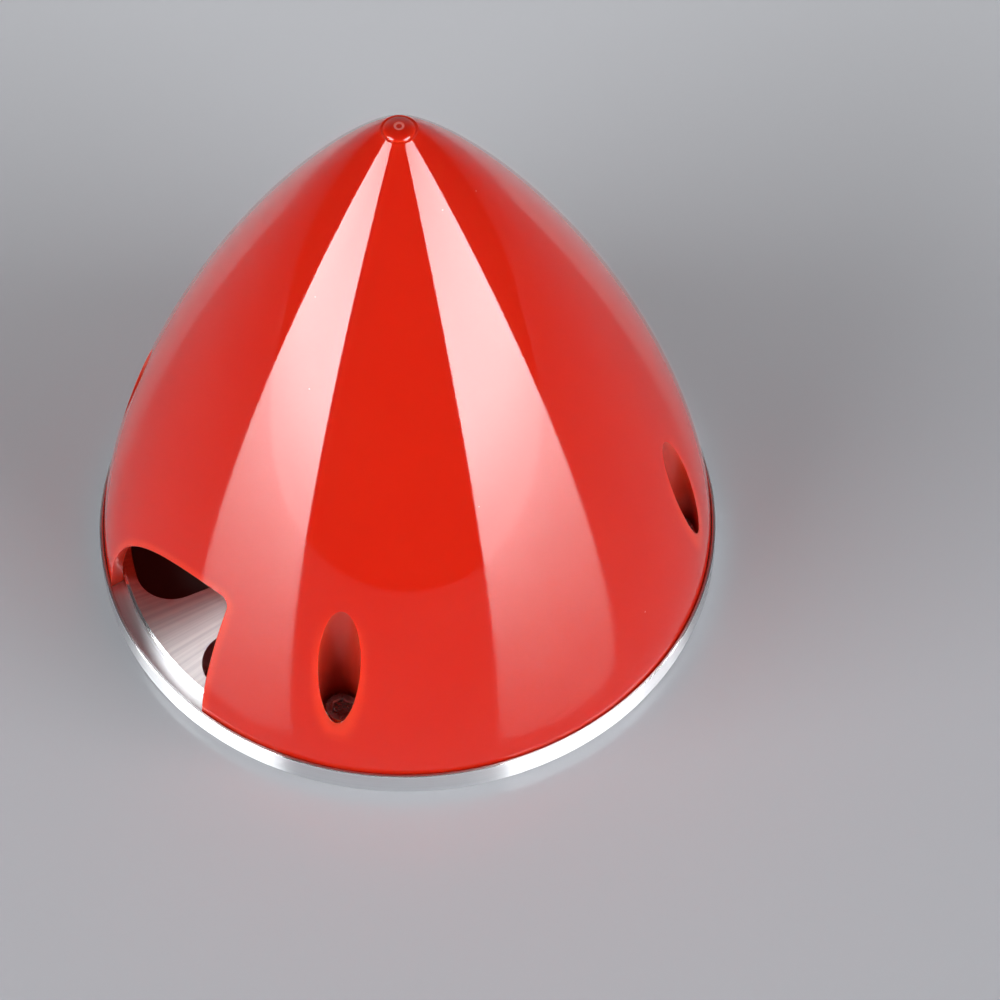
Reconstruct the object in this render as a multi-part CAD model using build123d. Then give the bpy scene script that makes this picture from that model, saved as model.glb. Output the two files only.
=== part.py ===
from build123d import *
from math import acos, asin, cos, degrees, hypot, radians, sin
import os

# Two-blade propeller spinner for a model aircraft: a moulded nose cone, held by four socket cap
# screws on a turned and milled backplate, and an adapter ring that centres it on an 8 mm shaft.
# Millimetres. The origin is the centre of the backplate's rear face and +Z points to the nose.
# The propeller's blades leave along +X and -X.

# Clearances
location_clearance = 0.10   # cone on its spigot and inside its lip, on the radius
push_fit_clearance = 0.02   # adapter ring in the backplate, screws in their tapped holes
screw_clearance = 0.20      # screw shank in the cone, on the radius
well_clearance = 0.62       # screw head in its well, on the radius

# Backplate
plate_radius = 51.0
plate_thickness = 5.4       # rear face to the face that the propeller's hub seats on
rim_height = 4.6            # rear face to the top of the lip around the cone
lip_thickness = 0.55
seat_depth = 1.2            # how far the cone's edge sits below the top of the lip
rim_chamfer = 0.3
lip_chamfer = 0.12
spigot_chamfer = 0.4
spoke_count = 8
spoke_half_angle = 7.0      # degrees; the spokes' sides are radial
hub_radius = 24.0
outer_band = 1.95           # from the windows to the outside of the spigot
window_outer_corner = 6.0
window_inner_corner = 3.5

# Cone
cone_wall = 2.2
nose_height = 102.4         # rear face to the top of the nose button
nose_thickness = 4.0        # along the axis
straight_wall = 0.6         # how far the inside stays cylindrical above the spigot
lead_in = 0.3               # chamfer inside the cone's edge, over the spigot
button_radius = 2.8
apex_above_button = 1.55    # where the ogive's two sides would meet, past the button
gate_mark_radius = 0.6
gate_mark_depth = 0.15

# Form of the ogive, the same outside and inside, drawn as bands of straight side
ogive_bulge = 1.475         # how long the sides stay nearly upright above the base
ogive_taper = 0.866         # how straight they run into the nose
outer_bands = 14            # within 0.08 mm of the true curve
inner_bands = 5             # hidden, so wider

# Blade cutouts, seen from outside, measured from the blade's centreline
cutout_tall_side = 14.9     # upright side, under the blade's leading edge
cutout_low_side = 14.4      # side where the edge curves down to the base
cutout_top = 30.4
cutout_spring_height = 5.0  # where the curved edge leaves the low side
cutout_crown = 13.6         # where the curved edge is level
cutout_corner = 1.8

# Screws, M3 socket caps
screw_count = 4
screw_inset = 2.88          # from the outside of the spigot to a screw's axis
thread_radius = 1.5
head_radius = 2.75
head_height = 3.0
head_chamfer = 0.3
socket_width = 2.5
socket_depth = 1.5
tip_gap = 1.5               # from a screw's tip to the rear face
tip_chamfer = 0.35
boss_wall = 1.5
boss_floor = 6.1            # of the cone's plastic under a screw's head

# Adapter ring
ring_radius = 6.775
ring_bore_radius = 4.0
ring_thickness = 3.3
ring_chamfer = 0.25
bore_step = 0.75            # shoulder that the ring is pushed against

# Sizes that follow from the ones above
ogive_apex = nose_height + apex_above_button
seat_height = rim_height - seat_depth
lip_inner_radius = plate_radius - lip_thickness
cone_radius = lip_inner_radius - location_clearance
cone_inner_radius = cone_radius - cone_wall
spigot_radius = cone_inner_radius - location_clearance
window_outer_radius = spigot_radius - outer_band
spoke_angle = 360 / spoke_count
screw_circle_radius = spigot_radius - screw_inset
screw_angles = [360 / screw_count * (k + 0.5) for k in range(screw_count)]
well_radius = head_radius + well_clearance
boss_radius = well_radius + boss_wall
screw_seat_height = plate_thickness + boss_floor
screw_length = screw_seat_height - tip_gap
shaft_hole_radius = ring_radius - bore_step


BASE = (Align.CENTER, Align.CENTER, Align.MIN)
TOP = (Align.CENTER, Align.CENTER, Align.MAX)


def on_circle(radius, angle, height=0.0):
    """Place at a radius and an angle about the spinner's axis."""
    return Location((radius * cos(radians(angle)), radius * sin(radians(angle)), height))


def polar(radius, angle):
    return (radius * cos(radians(angle)), radius * sin(radians(angle)))


def distance_from_axis(vertex):
    return hypot(vertex.X, vertex.Y)


# Ogive
def ogive_share(radius_share):
    """Share of the ogive's height at which its radius is this share of its base radius."""
    return (1 - radius_share ** (1 / ogive_taper)) ** (1 / ogive_bulge)


def ogive_side(base_radius, base_height, apex_height, bands):
    """Points from an ogive's base up to the button, closest where the side bends most."""
    height = apex_height - base_height
    top = ogive_share(button_radius / base_radius)
    shares = [top * (1 - cos(radians(180 * k / bands))) / 2 for k in range(bands + 1)]
    return [
        (base_radius * (1 - share**ogive_bulge) ** ogive_taper, base_height + share * height)
        for share in shares
    ]


# Backplate
def window():
    """Outline of one lightening window between two spokes."""
    low = spoke_half_angle
    middle = spoke_angle / 2
    high = spoke_angle - spoke_half_angle
    inner = [polar(hub_radius, angle) for angle in (low, middle, high)]
    outer = [polar(window_outer_radius, angle) for angle in (low, middle, high)]
    outline = make_face(
        [
            Line(inner[0], outer[0]),
            ThreePointArc(*outer),
            Line(outer[2], inner[2]),
            ThreePointArc(*inner),
        ]
    )
    outline = fillet(outline.vertices().sort_by(distance_from_axis)[-2:], window_outer_corner)
    return fillet(outline.vertices().sort_by(distance_from_axis)[:2], window_inner_corner)


def backplate():
    """Turned disc with a lip and a spigot for the cone, milled into spokes."""
    outline = Polyline(
        (0, 0),
        (plate_radius - rim_chamfer, 0),
        (plate_radius, rim_chamfer),
        (plate_radius, rim_height - lip_chamfer),
        (plate_radius - lip_chamfer, rim_height),
        (lip_inner_radius + lip_chamfer, rim_height),
        (lip_inner_radius, rim_height - lip_chamfer),
        (lip_inner_radius, seat_height),
        (spigot_radius, seat_height),
        (spigot_radius, plate_thickness - spigot_chamfer),
        (spigot_radius - spigot_chamfer, plate_thickness),
        (0, plate_thickness),
        close=True,
    )
    plate = revolve(Plane.XZ * make_face(outline), Axis.Z)
    cutter = extrude(window(), plate_thickness)
    for k in range(spoke_count):
        plate -= Rot(0, 0, k * spoke_angle) * cutter
    ring_seat = Cylinder(ring_radius + push_fit_clearance, ring_thickness, align=BASE)
    shaft_hole = Cylinder(shaft_hole_radius, plate_thickness, align=BASE)
    plate -= ring_seat + shaft_hole
    for angle in screw_angles:
        tapped = Cylinder(thread_radius + push_fit_clearance, plate_thickness, align=BASE)
        plate -= on_circle(screw_circle_radius, angle) * tapped
    return plate


# Cone
def outer_form():
    """Solid ogive with the small domed button at its nose."""
    side = ogive_side(cone_radius, seat_height, ogive_apex, outer_bands)
    button_rise = nose_height - side[-1][1]
    sphere = (button_radius**2 + button_rise**2) / (2 * button_rise)
    half_way = asin(button_radius / sphere) / 2
    centre = nose_height - sphere
    dome = ThreePointArc(
        side[-1],
        (sphere * sin(half_way), centre + sphere * cos(half_way)),
        (0, nose_height),
    )
    outline = Polyline((0, nose_height), (0, seat_height), *side)
    form = revolve(Plane.XZ * make_face([outline, dome]), Axis.Z)
    gate_mark = Cylinder(gate_mark_radius, gate_mark_depth, align=TOP)
    return form - Pos(0, 0, nose_height) * gate_mark


def hollow():
    """Space inside the cone: cylindrical over the spigot, then an ogive, less the four bosses."""
    spring = plate_thickness + straight_wall
    side = ogive_side(cone_inner_radius, spring, ogive_apex - nose_thickness, inner_bands)
    outline = Polyline(
        (0, side[-1][1]),
        (0, seat_height),
        (cone_inner_radius + lead_in, seat_height),
        (cone_inner_radius, seat_height + lead_in),
        *side,
        close=True,
    )
    space = revolve(Plane.XZ * make_face(outline), Axis.Z)
    for angle in screw_angles:
        boss = Cylinder(boss_radius, ogive_apex, align=BASE)
        space -= on_circle(screw_circle_radius, angle, plate_thickness) * boss
    return space


def blade_cutout():
    """Cutter for the blade that leaves along +X: one side upright, the other an elliptical sweep."""
    sweep = cutout_low_side + cutout_crown
    rise = cutout_top - cutout_spring_height
    past_crown = degrees(acos((cutout_tall_side - cutout_crown) / sweep))
    crown = Pos(cutout_crown, cutout_spring_height) * EllipticalCenterArc(
        (0, 0), sweep, rise, start_angle=past_crown, arc_size=180 - past_crown
    )
    rest = Polyline(crown @ 1, (-cutout_low_side, 0), (cutout_tall_side, 0), crown @ 0)
    outline = make_face([crown, rest])
    shoulder = outline.vertices().sort_by(Axis.X)[-2:].sort_by(Axis.Y)[-1]
    return extrude(Plane.YZ * fillet(shoulder, cutout_corner), plate_radius)


def cone():
    """Moulded shell with a boss and a screw well at each screw and a cutout for each blade."""
    shell = outer_form() - hollow()
    for angle in screw_angles:
        well = Cylinder(well_radius, ogive_apex, align=BASE)
        hole = Cylinder(thread_radius + screw_clearance, screw_seat_height, align=BASE)
        shell -= on_circle(screw_circle_radius, angle, screw_seat_height) * well
        shell -= on_circle(screw_circle_radius, angle) * hole
    for turn in (0, 180):
        shell -= Rot(0, 0, turn) * blade_cutout()
    return shell


# Screws and ring
def cap_screw():
    """Socket cap screw with its head's underside at the origin and its shank pointing down."""
    outline = Polyline(
        (0, head_height),
        (head_radius - head_chamfer, head_height),
        (head_radius, head_height - head_chamfer),
        (head_radius, 0),
        (thread_radius, 0),
        (thread_radius, tip_chamfer - screw_length),
        (thread_radius - tip_chamfer, -screw_length),
        (0, -screw_length),
        close=True,
    )
    screw = revolve(Plane.XZ * make_face(outline), Axis.Z)
    socket = RegularPolygon(socket_width / 2, 6, major_radius=False)
    return screw - extrude(Pos(0, 0, head_height) * socket, -socket_depth)


def adapter_ring():
    ring = Cylinder(ring_radius, ring_thickness, align=BASE)
    ring -= Cylinder(ring_bore_radius, ring_thickness, align=BASE)
    return chamfer(ring.edges().filter_by(GeomType.CIRCLE), ring_chamfer)


os.makedirs("parts", exist_ok=True)
export_step(backplate(), "parts/backplate.step")
export_step(cone(), "parts/spinner_cone.step")
export_step(adapter_ring(), "parts/adapter_ring.step")
for number, angle in enumerate(screw_angles, start=1):
    place = on_circle(screw_circle_radius, angle, screw_seat_height)
    export_step(place * cap_screw(), f"parts/cone_screw_{number}.step")
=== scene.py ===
from math import acos, atan2, cos, hypot, pi, radians, sin, tan

import bmesh
import bpy
from mathutils import Matrix, Vector


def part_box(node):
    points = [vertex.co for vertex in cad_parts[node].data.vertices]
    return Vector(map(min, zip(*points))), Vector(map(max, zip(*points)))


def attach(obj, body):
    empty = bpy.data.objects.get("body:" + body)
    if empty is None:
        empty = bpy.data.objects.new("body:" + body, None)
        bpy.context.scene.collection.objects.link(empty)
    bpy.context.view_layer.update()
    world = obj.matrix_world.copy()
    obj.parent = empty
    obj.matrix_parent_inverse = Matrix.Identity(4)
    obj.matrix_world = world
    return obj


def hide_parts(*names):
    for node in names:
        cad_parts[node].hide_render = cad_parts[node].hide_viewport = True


# Two-blade propeller spinner, 102 mm across: a glossy red moulded cone screwed to a turned and
# milled aluminium backplate. Metres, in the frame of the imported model: the origin is the centre
# of the backplate's rear face, +Z points to the nose, the blades leave along +X and -X.

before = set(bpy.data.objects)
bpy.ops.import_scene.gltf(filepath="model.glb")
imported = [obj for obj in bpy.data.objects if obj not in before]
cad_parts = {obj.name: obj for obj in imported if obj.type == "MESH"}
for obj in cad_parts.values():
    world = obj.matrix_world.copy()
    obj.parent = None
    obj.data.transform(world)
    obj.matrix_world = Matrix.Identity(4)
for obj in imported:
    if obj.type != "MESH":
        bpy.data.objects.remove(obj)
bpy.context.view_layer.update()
MM = 0.001

# Sizes read from the frame
plate_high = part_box("backplate")[1]
cone_low, cone_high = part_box("spinner_cone")
ring_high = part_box("adapter_ring")[1]
screw_boxes = [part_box(f"cone_screw_{number}") for number in range(1, 5)]
plate_radius = plate_high.x
plate_thickness = plate_high.z
cone_radius = cone_high.y
seat_height = cone_low.z
ring_radius = ring_high.x
ring_thickness = ring_high.z

# Backplate
rim_height = 4.6 * MM
lip_thickness = 0.55 * MM
rim_chamfer = 0.3 * MM
lip_chamfer = 0.12 * MM
spigot_chamfer = 0.4 * MM
spoke_count = 8
spoke_half_angle = radians(7.0)
hub_radius = 24.0 * MM
outer_band = 1.95 * MM
window_outer_corner = 6.0 * MM
window_inner_corner = 3.5 * MM
shaft_hole_radius = 6.025 * MM
tapped_hole_radius = 1.5 * MM

# Cone
cone_wall = 2.2 * MM
nose_height = 102.4 * MM
nose_thickness = 4.0 * MM
straight_wall = 0.6 * MM
lead_in = 0.3 * MM
button_radius = 2.8 * MM
apex_above_button = 1.55 * MM
gate_mark_radius = 0.6 * MM
gate_mark_depth = 0.15 * MM
gate_ring_radius = 0.85 * MM
dome_radius = 2.4 * MM
hollow_depth = 0.06 * MM
ogive_bulge = 1.475
ogive_taper = 0.866
location_clearance = 0.10 * MM

# Blade cutouts, seen from outside, measured from the blade's centreline
cutout_tall_side = 14.9 * MM
cutout_low_side = 14.4 * MM
cutout_top = 30.4 * MM
cutout_spring_height = 5.0 * MM
cutout_crown = 13.6 * MM
cutout_corner = 1.8 * MM

# Screws and their wells
head_radius = 2.75 * MM
head_height = 3.0 * MM
head_chamfer = 0.3 * MM
tip_chamfer = 0.35 * MM
shank_radius = 1.5 * MM
thread_pitch = 0.5 * MM
thread_depth = 0.27 * MM
socket_width = 2.5 * MM
socket_depth = 1.5 * MM
knurl_count = 36
knurl_depth = 0.06 * MM
well_clearance = 0.62 * MM
screw_clearance = 0.20 * MM
boss_wall = 1.5 * MM

# Adapter ring
ring_bore_radius = 4.0 * MM
ring_chamfer = 0.25 * MM

# Sizes that follow from the ones above
spigot_radius = cone_radius - cone_wall - location_clearance
cone_inner_radius = cone_radius - cone_wall
lip_inner_radius = plate_radius - lip_thickness
window_outer_radius = spigot_radius - outer_band
well_radius = head_radius + well_clearance
boss_radius = well_radius + boss_wall
ogive_apex = nose_height + apex_above_button
screw_places = [((low + high) / 2).xy for low, high in screw_boxes]
screw_tip_height = screw_boxes[0][0].z
head_seat_height = screw_boxes[0][1].z - head_height

# How points are told apart
surface_tolerance = 0.004 * MM
nose_zone = ogive_apex - 5 * MM      # everything above it has the skin's polish

# Fineness of the meshes
CONE_SEGMENTS = 288
CONE_ROWS = 110
INNER_SEGMENTS = 144
INNER_ROWS = 44
PLATE_SEGMENTS = 480
WELL_SEGMENTS = 72
ARC_STEPS = 12
SWEEP_STEPS = 48


# Mesh helpers
def new_object(name, mesh):
    piece = bpy.data.objects.new(name, mesh)
    bpy.context.scene.collection.objects.link(piece)
    return piece


def mesh_from(name, work):
    bmesh.ops.remove_doubles(work, verts=work.verts, dist=1e-7)
    bmesh.ops.recalc_face_normals(work, faces=work.faces)
    mesh = bpy.data.meshes.new(name)
    work.to_mesh(mesh)
    work.free()
    return mesh


def add_lathe(work, outline, segments, centre=(0, 0)):
    """Revolve a closed outline of (radius, height) points about an upright axis."""
    x, y = centre
    turns = [2 * pi * k / segments for k in range(segments)]
    rings = []
    for radius, height in outline:
        if radius < 1e-9:
            rings.append([work.verts.new((x, y, height))] * segments)
            continue
        rings.append([work.verts.new((x + radius * cos(t), y + radius * sin(t), height)) for t in turns])
    for lower, upper in zip(rings, rings[1:] + rings[:1]):
        for k in range(segments):
            corners = [lower[k], lower[k - 1], upper[k - 1], upper[k]]
            unique = list(dict.fromkeys(corners))
            if len(unique) > 2:
                work.faces.new(unique)


def lathe(name, outline, segments):
    work = bmesh.new()
    add_lathe(work, outline, segments)
    return new_object(name, mesh_from(name, work))


def add_prism(work, outline, start, end, place=Matrix.Identity(4)):
    """Closed prism over an outline of (x, y) points, from start to end along Z, then placed."""
    lower = [work.verts.new(place @ Vector((x, y, start))) for x, y in outline]
    upper = [work.verts.new(place @ Vector((x, y, end))) for x, y in outline]
    work.faces.new(lower)
    work.faces.new(upper)
    for k in range(len(outline)):
        work.faces.new([lower[k - 1], lower[k], upper[k], upper[k - 1]])


def cut(target, work, name="cutter"):
    """Take the solids in a bmesh away from an object's mesh."""
    cutter = new_object(name, mesh_from(name, work))
    modifier = target.modifiers.new("cut", "BOOLEAN")
    modifier.operation = "DIFFERENCE"
    modifier.solver = "EXACT"
    modifier.object = cutter
    evaluated = target.evaluated_get(bpy.context.evaluated_depsgraph_get())
    mesh = bpy.data.meshes.new_from_object(evaluated)
    target.modifiers.clear()
    target.data = mesh
    bpy.data.objects.remove(cutter)


def shade_smooth(piece, sharp_angle=radians(22)):
    """Smooth shading with hard edges wherever two faces meet at more than the angle."""
    mesh = piece.data
    mesh.shade_smooth()
    mesh.set_sharp_from_angle(angle=sharp_angle)


# Outlines
def arc_points(centre, radius, start, end, steps=ARC_STEPS):
    angles = [start + (end - start) * k / steps for k in range(steps + 1)]
    return [(centre[0] + radius * cos(a), centre[1] + radius * sin(a)) for a in angles]


def ogive_radius(base_radius, share):
    return base_radius * (1 - share**ogive_bulge) ** ogive_taper


def ogive_share(radius_share):
    """Share of the ogive's height at which its radius is this share of its base radius."""
    return (1 - radius_share ** (1 / ogive_taper)) ** (1 / ogive_bulge)


def ogive_outline(base_radius, base_height, apex_height, tip_radius, rows):
    top = ogive_share(tip_radius / base_radius)
    shares = [top * (1 - cos(pi * k / rows)) / 2 for k in range(rows + 1)]
    height = apex_height - base_height
    return [(ogive_radius(base_radius, s), base_height + s * height) for s in shares]


def fillet_corner(before, corner, after, radius, steps=ARC_STEPS):
    """Points of the arc that rounds a corner between two straight sides."""
    before, corner, after = Vector(before), Vector(corner), Vector(after)
    into = (before - corner).normalized()
    out = (after - corner).normalized()
    half = into.angle(out) / 2
    centre = corner + (into + out).normalized() * radius / sin(half)
    start = corner + into * radius / tan(half) - centre
    turn = start.angle_signed(corner + out * radius / tan(half) - centre)
    angles = [turn * k / steps for k in range(steps + 1)]
    return [tuple(centre + Matrix.Rotation(-a, 2) @ start) for a in angles]


def window_corner(half, reach, corner):
    """Centre of a rounded corner that touches a spoke, and its turn from the window's middle."""
    turn = half - atan2(corner, (reach**2 - corner**2) ** 0.5)
    return (reach * cos(turn), reach * sin(turn)), turn


def window_outline():
    """One lightening window between two spokes, around the X axis."""
    half = pi / spoke_count - spoke_half_angle
    outer_reach = window_outer_radius - window_outer_corner
    inner_reach = hub_radius + window_inner_corner
    outer_centre, outer_turn = window_corner(half, outer_reach, window_outer_corner)
    inner_centre, inner_turn = window_corner(half, inner_reach, window_inner_corner)
    upper_outer = arc_points(outer_centre, window_outer_corner, outer_turn, half + pi / 2)
    upper_inner = arc_points(inner_centre, window_inner_corner, half + pi / 2, inner_turn + pi)
    upper = upper_outer + upper_inner
    edge_steps = 2 * ARC_STEPS
    inner_arc = arc_points((0, 0), hub_radius, inner_turn, -inner_turn, edge_steps)[1:-1]
    outer_arc = arc_points((0, 0), window_outer_radius, -outer_turn, outer_turn, edge_steps)[1:-1]
    lower = [(x, -y) for x, y in reversed(upper)]
    return upper + inner_arc + lower + outer_arc


def cutout_outline():
    """Blade cutout seen from outside: across, up. One side upright, the other an elliptical sweep."""
    sweep = cutout_low_side + cutout_crown
    rise = cutout_top - cutout_spring_height
    past_crown = acos((cutout_tall_side - cutout_crown) / sweep)
    turns = [past_crown + (pi - past_crown) * k / SWEEP_STEPS for k in range(SWEEP_STEPS + 1)]
    crown = [(cutout_crown + sweep * cos(t), cutout_spring_height + rise * sin(t)) for t in turns]
    shoulder = (cutout_tall_side, crown[0][1])
    rounded = fillet_corner((cutout_tall_side, 0), shoulder, crown[1], cutout_corner)
    past_fillet = [point for point in crown if point[0] < rounded[-1][0]]
    below = -1 * MM
    return rounded + past_fillet + [(-cutout_low_side, below), (cutout_tall_side, below)]


# Cone
def cone_normal(point):
    """Outward normal of the outer ogive at a point on it."""
    height = ogive_apex - seat_height
    share = min(max((point.z - seat_height) / height, 1e-6), 1 - 1e-6)
    slope = (
        -cone_radius * ogive_taper * (1 - share**ogive_bulge) ** (ogive_taper - 1)
        * ogive_bulge * share ** (ogive_bulge - 1)
    )
    outward = Vector((point.x, point.y, 0)).normalized()
    return (outward * height + Vector((0, 0, -slope))).normalized()


def on_ogive(point):
    share = (point.z - seat_height) / (ogive_apex - seat_height)
    if not 0 <= share <= 1:
        return False
    return abs(hypot(point.x, point.y) - ogive_radius(cone_radius, share)) < surface_tolerance


def well_at(point):
    """Centre of the screw well whose wall a point is on, or None."""
    for place in screw_places:
        if abs((point.xy - place).length - well_radius) < surface_tolerance:
            return place
    return None


def set_true_normals(piece):
    """Give the ogive and the wells' walls the normals of the true surfaces, for clean reflections."""
    mesh = piece.data
    normals = [Vector((0, 0, 0))] * len(mesh.loops)
    for face in mesh.polygons:
        points = [mesh.vertices[index].co for index in face.vertices]
        if all(on_ogive(point) for point in points) and face.normal.dot(cone_normal(face.center)) > 0.8:
            for loop, point in zip(face.loop_indices, points):
                normals[loop] = cone_normal(point)
            continue
        wells = [well_at(point) for point in points]
        if all(well is not None for well in wells) and abs(face.normal.z) < 0.1:
            for loop, point, well in zip(face.loop_indices, points, wells):
                inward = (well - point.xy).normalized()
                normals[loop] = Vector((inward.x, inward.y, 0))
    mesh.normals_split_custom_set(normals)


def nose_outline():
    """Side of the ogive, a narrow hollow, and the button's dome with its ringed gate mark."""
    side = ogive_outline(cone_radius, seat_height, ogive_apex, button_radius, CONE_ROWS)
    foot = side[-1][1] - hollow_depth
    rise = nose_height - foot

    def on_dome(radius, below=0):
        return (radius, foot + rise * (1 - (radius / dome_radius) ** 2) ** 0.5 - below)

    width = button_radius - dome_radius
    shares = [k / 6 for k in range(1, 6)]
    hollow = [(button_radius - width * s, foot + hollow_depth * (1 - sin(pi / 2 * s))) for s in shares]
    steepest = acos(gate_ring_radius / dome_radius)
    dome = [on_dome(dome_radius * cos(steepest * k / 14)) for k in range(15)]
    middle = (gate_ring_radius + gate_mark_radius) / 2
    ring = [on_dome(middle, gate_mark_depth * 0.45), on_dome(gate_mark_radius, gate_mark_depth * 0.1)]
    floor = nose_height - gate_mark_depth
    mark = [(gate_mark_radius * 0.7, floor), (0, floor)]
    return side + hollow + dome + ring + mark


def make_cone(plastics):
    """Shell less its hollow, wells and cutouts, in three plastics: skin, well and hollow."""
    cone = lathe("spinner_shell", nose_outline() + [(0, seat_height)], CONE_SEGMENTS)
    spring = plate_thickness + straight_wall
    inner = ogive_outline(cone_inner_radius, spring, ogive_apex - nose_thickness, button_radius, INNER_ROWS)
    below = seat_height - 1 * MM
    cavity_outline = [
        (0, below),
        (cone_inner_radius + lead_in + 1 * MM, below),
        (cone_inner_radius, seat_height + lead_in),
        *inner,
        (0, inner[-1][1]),
    ]
    cavity = lathe("cavity", cavity_outline, INNER_SEGMENTS)
    work = bmesh.new()
    column = [
        (0, plate_thickness),
        (boss_radius, plate_thickness),
        (boss_radius, nose_height),
        (0, nose_height),
    ]
    for place in screw_places:
        add_lathe(work, column, WELL_SEGMENTS, place)
    cut(cavity, work)
    work = bmesh.new()
    work.from_mesh(cavity.data)
    bpy.data.objects.remove(cavity)
    cut(cone, work)
    work = bmesh.new()
    hole_radius = shank_radius + screw_clearance
    stepped = [
        (0, 0),
        (hole_radius, 0),
        (hole_radius, head_seat_height),
        (well_radius, head_seat_height),
        (well_radius, nose_height),
        (0, nose_height),
    ]
    for place in screw_places:
        add_lathe(work, stepped, WELL_SEGMENTS, place)
    upright = Matrix(((0, 0, 1, 0), (1, 0, 0, 0), (0, 1, 0, 0), (0, 0, 0, 1)))
    for turn in (0, pi):
        place = Matrix.Rotation(turn, 4, "Z") @ upright
        add_prism(work, cutout_outline(), hub_radius, plate_radius + 1 * MM, place)
    cut(cone, work)
    shade_smooth(cone)
    set_true_normals(cone)
    skin, well, hollow = plastics
    dress(cone, skin, "spinner_cone")
    cone.data.materials.append(well)
    cone.data.materials.append(hollow)
    for face in cone.data.polygons:
        points = [cone.data.vertices[index].co for index in face.vertices]
        if all(on_ogive(point) or point.z > nose_zone for point in points):
            face.material_index = 0
        elif all(well_at(point) for point in points):
            face.material_index = 1
        else:
            face.material_index = 2
    return cone


# Backplate
def make_backplate(material):
    outline = [
        (0, 0),
        (plate_radius - rim_chamfer, 0),
        (plate_radius, rim_chamfer),
        (plate_radius, rim_height - lip_chamfer),
        (plate_radius - lip_chamfer, rim_height),
        (lip_inner_radius + lip_chamfer, rim_height),
        (lip_inner_radius, rim_height - lip_chamfer),
        (lip_inner_radius, seat_height),
        (spigot_radius, seat_height),
        (spigot_radius, plate_thickness - spigot_chamfer),
        (spigot_radius - spigot_chamfer, plate_thickness),
        (0, plate_thickness),
    ]
    plate = lathe("turned_backplate", outline, PLATE_SEGMENTS)
    work = bmesh.new()
    above = plate_thickness + 1 * MM
    for k in range(spoke_count):
        middle = Matrix.Rotation(2 * pi * (k + 0.5) / spoke_count, 4, "Z")
        add_prism(work, window_outline(), -1 * MM, above, middle)
    tapped = [(0, -1 * MM), (tapped_hole_radius, -1 * MM), (tapped_hole_radius, above), (0, above)]
    for place in screw_places:
        add_lathe(work, tapped, WELL_SEGMENTS, place)
    recess = [
        (0, -1 * MM),
        (ring_radius, -1 * MM),
        (ring_radius, ring_thickness),
        (shaft_hole_radius, ring_thickness),
        (shaft_hole_radius, above),
        (0, above),
    ]
    add_lathe(work, recess, WELL_SEGMENTS * 2)
    cut(plate, work)
    shade_smooth(plate)
    return dress(plate, material, "backplate")


def make_ring(material):
    outline = [
        (ring_bore_radius, ring_chamfer),
        (ring_bore_radius + ring_chamfer, 0),
        (ring_radius - ring_chamfer, 0),
        (ring_radius, ring_chamfer),
        (ring_radius, ring_thickness - ring_chamfer),
        (ring_radius - ring_chamfer, ring_thickness),
        (ring_bore_radius + ring_chamfer, ring_thickness),
        (ring_bore_radius, ring_thickness - ring_chamfer),
    ]
    ring = lathe("shaft_ring", outline, WELL_SEGMENTS * 2)
    shade_smooth(ring)
    return dress(ring, material, "adapter_ring")


# Screws
def screw_head(work):
    """Knurled head: rings of points whose radius follows the knurl on the upright part."""
    segments = knurl_count * 4
    rings = []
    rows = [
        (shank_radius, 0, 0),
        (head_radius - 0.05 * MM, 0, 0),
        (head_radius, 0.05 * MM, 1),
        (head_radius, head_height - head_chamfer, 1),
        (head_radius - head_chamfer, head_height, 0),
        (socket_width * 0.62, head_height, 0),
    ]
    for radius, height, knurled in rows:
        ring = []
        for k in range(segments):
            turn = 2 * pi * k / segments
            reach = radius - knurled * knurl_depth * (1 - cos(turn * knurl_count)) / 2
            ring.append(work.verts.new((reach * cos(turn), reach * sin(turn), height)))
        rings.append(ring)
    rings.append(hexagon(work, segments, head_height - 0.12 * MM))
    rings.append(hexagon(work, segments, head_height - socket_depth))
    for lower, upper in zip(rings, rings[1:]):
        for k in range(segments):
            work.faces.new([lower[k - 1], lower[k], upper[k], upper[k - 1]])
    work.faces.new(rings[-1])
    return rings[0]


def hexagon(work, segments, height):
    """Ring of points on a hexagon as wide as the socket."""
    ring = []
    for k in range(segments):
        turn = 2 * pi * k / segments
        from_middle = (turn + pi / 6) % (pi / 3) - pi / 6
        radius = socket_width / 2 / cos(from_middle)
        ring.append(work.verts.new((radius * cos(turn), radius * sin(turn), height)))
    return ring


def threaded_shank(work, top_ring, length):
    """Shank with a helical thread, from the head's underside down to a chamfered tip."""
    segments = len(top_ring)
    rows_per_turn = 6
    rows = round(length / thread_pitch * rows_per_turn)
    previous = top_ring
    for row in range(1, rows + 1):
        depth_down = length * row / rows
        ring = []
        for k in range(segments):
            turn = 2 * pi * k / segments
            phase = (depth_down / thread_pitch + k / segments) % 1
            groove = thread_depth * abs(2 * phase - 1)
            tip = max(0, depth_down - (length - tip_chamfer))
            radius = shank_radius - max(groove, tip)
            ring.append(work.verts.new((radius * cos(turn), radius * sin(turn), -depth_down)))
        for k in range(segments):
            work.faces.new([ring[k - 1], ring[k], previous[k], previous[k - 1]])
        previous = ring
    work.faces.new(previous)


def make_screws(material):
    work = bmesh.new()
    top_ring = screw_head(work)
    threaded_shank(work, top_ring, head_seat_height - screw_tip_height)
    mesh = mesh_from("cap_screw", work)
    screws = []
    for number, place in enumerate(screw_places, start=1):
        screw = new_object(f"cap_screw_{number}", mesh.copy())
        turn = Matrix.Rotation(radians(17 + 23 * number), 4, "Z")
        screw.data.transform(Matrix.Translation((place.x, place.y, head_seat_height)) @ turn)
        shade_smooth(screw, radians(35))
        screws.append(dress(screw, material, f"cone_screw_{number}"))
    return screws


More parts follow.
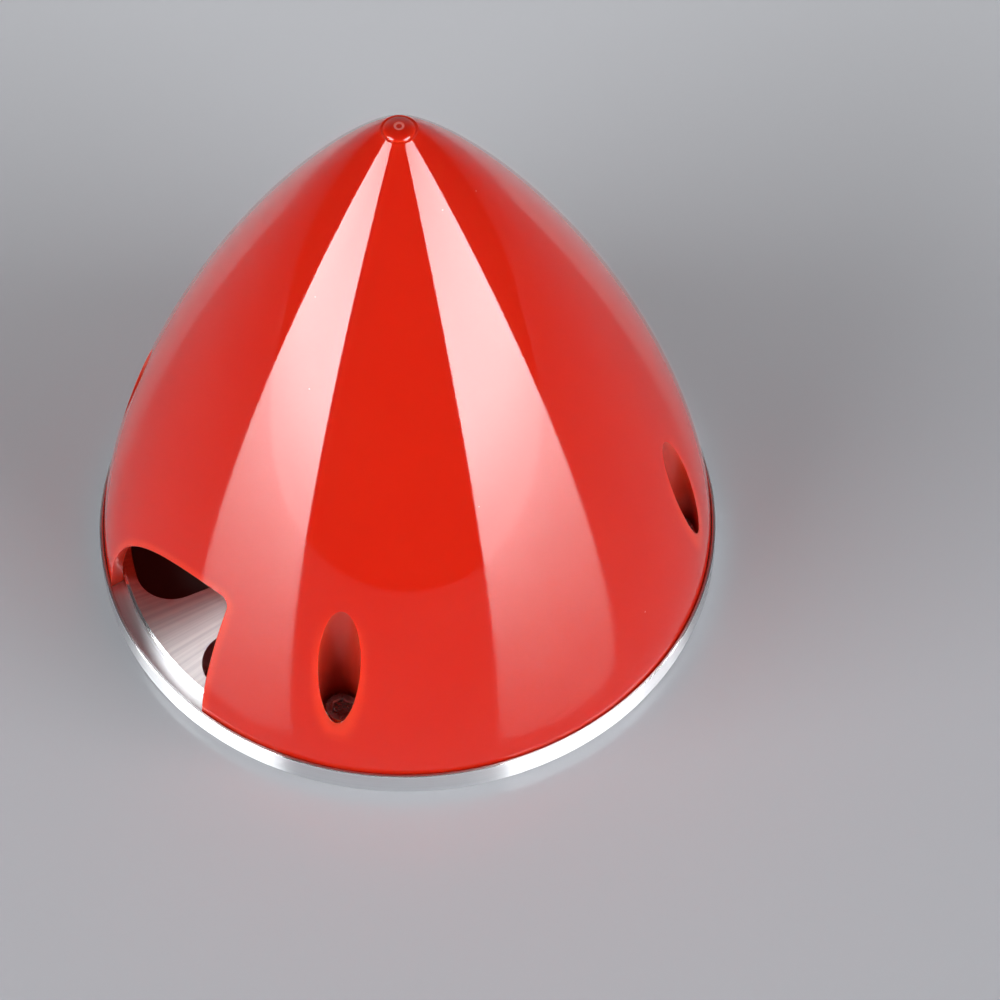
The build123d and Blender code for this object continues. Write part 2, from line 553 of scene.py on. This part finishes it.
# Materials
def new_material(name):
    material = bpy.data.materials.new(name)
    material.use_nodes = True
    nodes = material.node_tree.nodes
    nodes.clear()
    output = nodes.new("ShaderNodeOutputMaterial")
    shader = nodes.new("ShaderNodeBsdfPrincipled")
    material.node_tree.links.new(shader.outputs[0], output.inputs["Surface"])
    return material, material.node_tree, shader


def dress(piece, material, node):
    piece.data.materials.clear()
    piece.data.materials.append(material)
    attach(piece, "root")
    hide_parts(node)
    return piece


def add_math(tree, operation, *values):
    """Math node fed with numbers or sockets."""
    node = tree.nodes.new("ShaderNodeMath")
    node.operation = operation
    for socket, value in zip(node.inputs, values):
        if hasattr(value, "is_linked"):
            tree.links.new(value, socket)
        else:
            socket.default_value = value
    return node.outputs[0]


def add_range(tree, value, low, high, to_low, to_high):
    node = tree.nodes.new("ShaderNodeMapRange")
    node.interpolation_type = "SMOOTHSTEP"
    tree.links.new(value, node.inputs["Value"])
    node.inputs["From Min"].default_value = low
    node.inputs["From Max"].default_value = high
    node.inputs["To Min"].default_value = to_low
    node.inputs["To Max"].default_value = to_high
    return node.outputs[0]


def add_noise(tree, dimensions, source, scale, detail=2.0):
    """Noise texture over a vector, or over one number where it has one dimension."""
    node = tree.nodes.new("ShaderNodeTexNoise")
    node.noise_dimensions = dimensions
    tree.links.new(source, node.inputs["W" if dimensions == "1D" else "Vector"])
    node.inputs["Scale"].default_value = scale
    node.inputs["Detail"].default_value = detail
    return node.outputs["Fac"]


def add_mix(tree, factor, first, second):
    """Mix of two colours by a factor."""
    node = tree.nodes.new("ShaderNodeMix")
    node.data_type = "RGBA"
    tree.links.new(factor, node.inputs["Factor"])
    for socket, value in ((node.inputs[6], first), (node.inputs[7], second)):
        if hasattr(value, "is_linked"):
            tree.links.new(value, socket)
        else:
            socket.default_value = value
    return node.outputs[2]


def add_bevel(tree, radius):
    node = tree.nodes.new("ShaderNodeBevel")
    node.samples = 6
    node.inputs["Radius"].default_value = radius
    return node.outputs[0]


def add_bump(tree, height, distance, normal):
    node = tree.nodes.new("ShaderNodeBump")
    node.inputs["Distance"].default_value = distance
    tree.links.new(height, node.inputs["Height"])
    tree.links.new(normal, node.inputs["Normal"])
    return node.outputs[0]


def axis_coordinates(tree):
    """Sockets of a point's place on the object: the vector, its radius, its turn and its height."""
    place = tree.nodes.new("ShaderNodeTexCoord").outputs["Object"]
    parts = tree.nodes.new("ShaderNodeSeparateXYZ")
    tree.links.new(place, parts.inputs[0])
    x, y, z = parts.outputs
    squares = add_math(tree, "ADD", add_math(tree, "MULTIPLY", x, x), add_math(tree, "MULTIPLY", y, y))
    return place, add_math(tree, "SQRT", squares), add_math(tree, "ARCTAN2", y, x), z


def red_plastic(name, red, roughness, glow=0.0):
    """Moulded plastic: light leaks out of its thin edges, painted as a lighter colour near edges and as an
    emission glow where asked; its polish has faint marks.
    """
    material, tree, shader = new_material(name)
    links = tree.links
    shader.inputs["IOR"].default_value = 1.46
    # Painted light: an emission glow of the given strength, standing in for light coming through thin walls
    shader.inputs["Emission Color"].default_value = (0.9, 0.05, 0.02, 1)
    shader.inputs["Emission Strength"].default_value = glow
    shader.inputs["Subsurface Weight"].default_value = 0.5
    shader.inputs["Subsurface Radius"].default_value = (1.0, 0.10, 0.04)
    shader.inputs["Subsurface Scale"].default_value = 2.5 * MM
    place, radius, turn, height = axis_coordinates(tree)

    # Painted glow: the colour turns lighter near edges, where the normal rounded over a wide bevel leaves the
    # true one, for light shining through the thin plastic
    wide = add_bevel(tree, 2.8 * MM)
    geometry = tree.nodes.new("ShaderNodeNewGeometry")
    alike = tree.nodes.new("ShaderNodeVectorMath")
    alike.operation = "DOT_PRODUCT"
    links.new(wide, alike.inputs[0])
    links.new(geometry.outputs["Normal"], alike.inputs[1])
    painted_edge_glow = add_range(tree, alike.outputs["Value"], 0.999, 0.86, 0.0, 0.8)
    cloud = add_noise(tree, "3D", place, 90.0, 3.0)
    body = add_mix(tree, cloud, (red, 0.0130, 0.0036, 1), (red * 1.06, 0.0165, 0.0046, 1))
    colour = add_mix(tree, painted_edge_glow, body, (red * 1.5, 0.040, 0.010, 1))
    dust = tree.nodes.new("ShaderNodeTexVoronoi")
    links.new(place, dust.inputs["Vector"])
    dust.inputs["Scale"].default_value = 260.0
    speck = add_range(tree, dust.outputs["Distance"], 0.030, 0.045, 0.35, 0.0)
    sparse = add_range(tree, add_noise(tree, "3D", place, 40.0, 0.0), 0.60, 0.66, 0.0, 1.0)
    colour = add_mix(tree, add_math(tree, "MULTIPLY", speck, sparse), colour, (0.8, 0.45, 0.4, 1))
    pale_ring = add_range(tree, radius, gate_ring_radius, gate_ring_radius - 0.15 * MM, 0.0, 1.0)
    past_ring = add_range(tree, radius, gate_mark_radius - 0.25 * MM, gate_mark_radius - 0.1 * MM, 0.0, 0.6)
    at_nose = add_math(tree, "GREATER_THAN", height, nose_height - 1 * MM)
    gate = add_math(tree, "MULTIPLY", add_math(tree, "MULTIPLY", pale_ring, past_ring), at_nose)
    colour = add_mix(tree, gate, colour, (0.85, 0.30, 0.26, 1))
    links.new(colour, shader.inputs["Base Color"])

    # Wiping marks run down the sides: noise drawn out along the height
    stretched = tree.nodes.new("ShaderNodeCombineXYZ")
    links.new(add_math(tree, "MULTIPLY", turn, 60.0), stretched.inputs[0])
    links.new(add_math(tree, "MULTIPLY", height, 70.0), stretched.inputs[1])
    wipes = add_noise(tree, "3D", stretched.outputs[0], 1.0, 4.0)
    polish = add_range(tree, wipes, 0.55, 0.80, roughness - 0.01, roughness + 0.03)
    links.new(polish, shader.inputs["Roughness"])
    ripple = add_noise(tree, "3D", place, 45.0, 1.0)
    normal = add_bump(tree, ripple, 0.003 * MM, add_bevel(tree, 0.07 * MM))
    links.new(normal, shader.inputs["Normal"])
    return material


def turned_aluminium():
    """Bright metal with turning marks round the axis, finished differently by face and place; painted
    reflection rays on the plate's face, painted shade for bounced light.
    """
    material, tree, shader = new_material("turned_aluminium")
    links = tree.links
    shader.inputs["Metallic"].default_value = 1
    shader.inputs["Anisotropic"].default_value = 1.0
    shader.inputs["Anisotropic Rotation"].default_value = 0.25
    tangent = tree.nodes.new("ShaderNodeTangent")
    tangent.direction_type = "RADIAL"
    tangent.axis = "Z"
    links.new(tangent.outputs[0], shader.inputs["Tangent"])
    radius, turn, height = axis_coordinates(tree)[1:]
    geometry = tree.nodes.new("ShaderNodeNewGeometry")
    facing = tree.nodes.new("ShaderNodeSeparateXYZ")
    links.new(geometry.outputs["True Normal"], facing.inputs[0])
    upright = add_math(tree, "ABSOLUTE", facing.outputs[2])
    flat = add_math(tree, "GREATER_THAN", upright, 0.96)
    on_plate = add_math(tree, "MULTIPLY", flat, add_math(tree, "LESS_THAN", radius, spigot_radius))

    # Turning marks, and on the plate's face painted reflection rays across them: lighter radial streaks of
    # colour in place of the lamps' streaked reflection
    across = add_math(tree, "ADD", radius, height)
    coarse = add_noise(tree, "1D", across, 700.0, 4.0)
    fine = add_noise(tree, "1D", across, 5200.0, 2.0)
    coarse_part = add_math(tree, "MULTIPLY", coarse, 0.6)
    fine_part = add_math(tree, "MULTIPLY", fine, 0.4)
    marks = add_math(tree, "ADD", coarse_part, fine_part)
    # Painted reflection: light radial streaks on the plate's face
    rays = add_range(tree, add_noise(tree, "1D", turn, 55.0, 3.0), 0.25, 0.75, 0.0, 1.0)
    colour = add_mix(tree, marks, (0.80, 0.81, 0.83, 1), (0.95, 0.96, 0.98, 1))
    painted_rays_colour = add_mix(tree, rays, (0.82, 0.82, 0.84, 1), (1.0, 1.0, 1.0, 1))
    bright = add_mix(tree, on_plate, colour, painted_rays_colour)
    # Painted shade: diffuse rays see the metal as dark grey, so it casts less bounced light on the floor and
    # the cone
    painted_bounce_shade = tree.nodes.new("ShaderNodeLightPath").outputs["Is Diffuse Ray"]
    links.new(add_mix(tree, painted_bounce_shade, bright, (0.30, 0.30, 0.31, 1)), shader.inputs["Base Color"])
    slanted = add_math(tree, "COMPARE", upright, 0.707, 0.25)
    finish = add_range(tree, flat, 0.0, 1.0, 0.31, 0.37)
    clean = add_math(tree, "MULTIPLY", slanted, -0.08)
    uneven = add_range(tree, marks, 0.3, 0.7, -0.015, 0.015)
    finish = add_math(tree, "ADD", add_math(tree, "ADD", finish, clean), uneven)
    links.new(finish, shader.inputs["Roughness"])
    normal = add_bump(tree, marks, 0.0015 * MM, add_bevel(tree, 0.10 * MM))
    links.new(normal, shader.inputs["Normal"])
    return material


def screw_steel():
    """Zinc plated steel, a little uneven in colour and polish."""
    material, tree, shader = new_material("screw_steel")
    links = tree.links
    shader.inputs["Metallic"].default_value = 1
    place = axis_coordinates(tree)[0]
    cloud = add_noise(tree, "3D", place, 700.0, 3.0)
    links.new(add_mix(tree, cloud, (0.30, 0.30, 0.31, 1), (0.50, 0.50, 0.51, 1)), shader.inputs["Base Color"])
    links.new(add_range(tree, cloud, 0.3, 0.7, 0.16, 0.30), shader.inputs["Roughness"])
    grain = add_noise(tree, "3D", place, 6000.0, 2.0)
    links.new(add_bump(tree, grain, 0.004 * MM, add_bevel(tree, 0.08 * MM)), shader.inputs["Normal"])
    return material


# Surroundings
camera_place = Vector((-190.3, -319.9, 530.5)) * MM
camera_target = Vector((16.26, -3.00, 0)) * MM
camera_roll = radians(0.6168)
camera_lens = 139.83
view_azimuth = radians(-120.75)
floor_half_size = 4.0
table_edge = 250 * MM       # from the axis to the front edge of the polished table
lamp_distance = 2.0
fill_level = 0.13
dark_room = 0.05
pale_room = 0.62
front_cloth = [(0.0, 0.46), (0.14, 0.44), (0.30, 1.0), (0.52, 0.95), (0.80, 0.70), (1.0, 0.55)]
sheen_cloth = [(0.0, 1.0), (0.6, 1.0), (1.0, 0.1)]
lamp_low = -14              # degrees; the lower edge of the lamps in front
lamp_high = 40
shine_level = 18.0
light_level = 4.9


def floor_material():
    material, tree, shader = new_material("floor_grey")
    radius = axis_coordinates(tree)[1]
    # Painted shadow: the floor turns near black under the backplate, where the spinner shades it
    painted_shadow_under_plate = add_range(tree, radius, window_outer_radius, plate_radius, 1.0, 0.0)
    colour = add_mix(tree, painted_shadow_under_plate, (0.585, 0.60, 0.64, 1), (0.05, 0.05, 0.05, 1))
    tree.links.new(colour, shader.inputs["Base Color"])
    shader.inputs["Roughness"].default_value = 0.12
    shader.inputs["IOR"].default_value = 1.5
    return material


def floor_plane(name, near, far, material):
    """Part of the floor between two distances in front of the axis, towards the camera."""
    forward = Vector((cos(view_azimuth), sin(view_azimuth), 0))
    across = Vector((-forward.y, forward.x, 0)) * floor_half_size
    start = forward * near
    end = forward * far
    corners = [start - across, end - across, end + across, start + across]
    mesh = bpy.data.meshes.new(name)
    mesh.from_pydata([tuple(corner) for corner in corners], [], [(0, 1, 2, 3)])
    floor = new_object(name, mesh)
    floor.data.materials.append(material)
    return floor


def make_floor():
    material = floor_material()
    table = floor_plane("floor_table", -floor_half_size, table_edge, material)
    beyond = floor_plane("floor_beyond", table_edge, floor_half_size, material)
    beyond.visible_glossy = False
    return [table, beyond]


def softbox(name, azimuth, width_angle, low, high, radiance):
    """Upright rectangular lamp that faces the axis.

    Seen from the axis it has an azimuth, a width and its lower and upper elevation, in degrees.
    """
    azimuth = radians(azimuth)
    bottom = lamp_distance * tan(radians(low))
    top = lamp_distance * tan(radians(high))
    light = bpy.data.lights.new(name, "AREA")
    light.shape = "RECTANGLE"
    light.size = 2 * lamp_distance * tan(radians(width_angle) / 2)
    light.size_y = top - bottom
    light.energy = radiance * pi * light.size * light.size_y
    lamp = bpy.data.objects.new(name, light)
    bpy.context.scene.collection.objects.link(lamp)
    outward = Vector((cos(azimuth), sin(azimuth), 0))
    lamp.location = outward * lamp_distance + Vector((0, 0, (bottom + top) / 2))
    lamp.rotation_euler = outward.to_track_quat("Z", "Y").to_euler()
    lamp.visible_camera = False
    return lamp


def shade_softbox(lamp, levels):
    """Brightness of a softbox's cloth by share of its height, from its bottom edge to its top."""
    light = lamp.data
    light.use_nodes = True
    tree = light.node_tree
    emission = next(node for node in tree.nodes if node.type == "EMISSION")
    geometry = tree.nodes.new("ShaderNodeNewGeometry")
    parts = tree.nodes.new("ShaderNodeSeparateXYZ")
    tree.links.new(geometry.outputs["Parametric"], parts.inputs[0])
    ramp = tree.nodes.new("ShaderNodeValToRGB")
    ramp.color_ramp.interpolation = "B_SPLINE"
    stops = ramp.color_ramp.elements
    between = [stops.new(share) for share, _ in levels[1:-1]]
    for (share, level), stop in zip(levels, [stops[0]] + between + [stops[-1]]):
        stop.position = share
        stop.color = (level, level, level, 1)
    tree.links.new(parts.outputs[1], ramp.inputs[0])
    tree.links.new(ramp.outputs[0], emission.inputs["Color"])


def receivers(name, pieces):
    """Collection of the pieces that a lamp shines on."""
    group = bpy.data.collections.new(name)
    for piece in pieces:
        group.objects.link(piece)
    return group


def make_lamps(shell, metal_pieces, floors):
    """Lamps for shine, for light, for the metal's glints and for the sheen on the floor."""
    shining = receivers("shining", [shell] + floors)
    metallic = receivers("metallic", metal_pieces)
    for side, azimuth, width in (("left", 181.3, 36.5), ("right", -71.5, 43.0)):
        shine = softbox(f"shine_{side}", azimuth, width, lamp_low, lamp_high, shine_level)
        shade_softbox(shine, front_cloth)
        shine.visible_diffuse = False
        shine.light_linking.receiver_collection = shining
    for side, azimuth in (("left", 180), ("right", -62)):
        light = softbox(f"light_{side}", azimuth, 54, lamp_low, lamp_high, light_level)
        light.visible_glossy = False
    for glint in (
        softbox("glint_left", 175, 50, lamp_low, 18, 9.5),
        softbox("glint_right", -62, 58, lamp_low, 48, 15.0),
        softbox("glint_front", 239, 64, lamp_low, 12, 2.2),
        softbox("glint_high", 152.5, 19, 24, 58, 6.6),
    ):
        glint.visible_diffuse = False
        glint.light_linking.receiver_collection = metallic
    sheen = softbox("sheen_back", 59.25, 90, 25, 52, 2.6)
    shade_softbox(sheen, sheen_cloth)
    sheen.visible_diffuse = False
    sheen.light_linking.receiver_collection = receivers("floors", floors)


def make_world():
    """Even fill light, and a pale room that camera, glossy and transmission rays see.

    Behind the camera the room is dark.
    """
    world = bpy.data.worlds.new("studio")
    bpy.context.scene.world = world
    world.use_nodes = True
    tree = world.node_tree
    nodes, links = tree.nodes, tree.links
    nodes.clear()
    output = nodes.new("ShaderNodeOutputWorld")
    fill = nodes.new("ShaderNodeBackground")
    fill.inputs["Color"].default_value = (0.96, 0.98, 1.0, 1)
    fill.inputs["Strength"].default_value = fill_level
    room = nodes.new("ShaderNodeBackground")
    room.inputs["Color"].default_value = (0.97, 0.985, 1.0, 1)
    toward = nodes.new("ShaderNodeVectorMath")
    toward.operation = "DOT_PRODUCT"
    links.new(nodes.new("ShaderNodeTexCoord").outputs["Generated"], toward.inputs[0])
    toward.inputs[1].default_value = (-cos(view_azimuth), -sin(view_azimuth), 0)
    path = nodes.new("ShaderNodeLightPath")
    by_direction = add_range(tree, toward.outputs["Value"], 0.5, 0.95, dark_room, pale_room)
    level = nodes.new("ShaderNodeMix")
    links.new(path.outputs["Is Camera Ray"], level.inputs["Factor"])
    links.new(by_direction, level.inputs[2])
    level.inputs[3].default_value = pale_room
    links.new(level.outputs[0], room.inputs["Strength"])
    seen = add_math(tree, "MAXIMUM", path.outputs["Is Camera Ray"], path.outputs["Is Glossy Ray"])
    seen = add_math(tree, "MAXIMUM", seen, path.outputs["Is Transmission Ray"])
    mix = nodes.new("ShaderNodeMixShader")
    links.new(seen, mix.inputs[0])
    links.new(fill.outputs[0], mix.inputs[1])
    links.new(room.outputs[0], mix.inputs[2])
    links.new(mix.outputs[0], output.inputs["Surface"])


def make_camera():
    camera = bpy.data.cameras.new("camera")
    camera.lens = camera_lens
    camera.sensor_width = 36
    camera.clip_start = 0.01
    viewer = bpy.data.objects.new("camera", camera)
    bpy.context.scene.collection.objects.link(viewer)
    aim = (camera_target - camera_place).to_track_quat("-Z", "Y").to_matrix().to_4x4()
    viewer.matrix_world = Matrix.Translation(camera_place) @ aim @ Matrix.Rotation(camera_roll, 4, "Z")
    bpy.context.scene.camera = viewer


plastics = [
    red_plastic("red_plastic", 0.575, 0.055),
    # Painted shade: the wells' plastic is a darker red than the skin's, for the shade deep in the wells
    red_plastic("red_plastic_well_painted_shade", 0.38, 0.36),
    # Painted light: the hollow's walls and the cutouts' faces glow a little by emission
    red_plastic("red_plastic_hollow_painted_glow", 0.55, 0.42, 0.09),
]
aluminium = turned_aluminium()
steel = screw_steel()
shell = make_cone(plastics)
metal_pieces = [make_backplate(aluminium), make_ring(aluminium)] + make_screws(steel)
floors = make_floor()
make_lamps(shell, metal_pieces, floors)
make_world()
make_camera()
bpy.context.scene.view_settings.view_transform = "Standard"
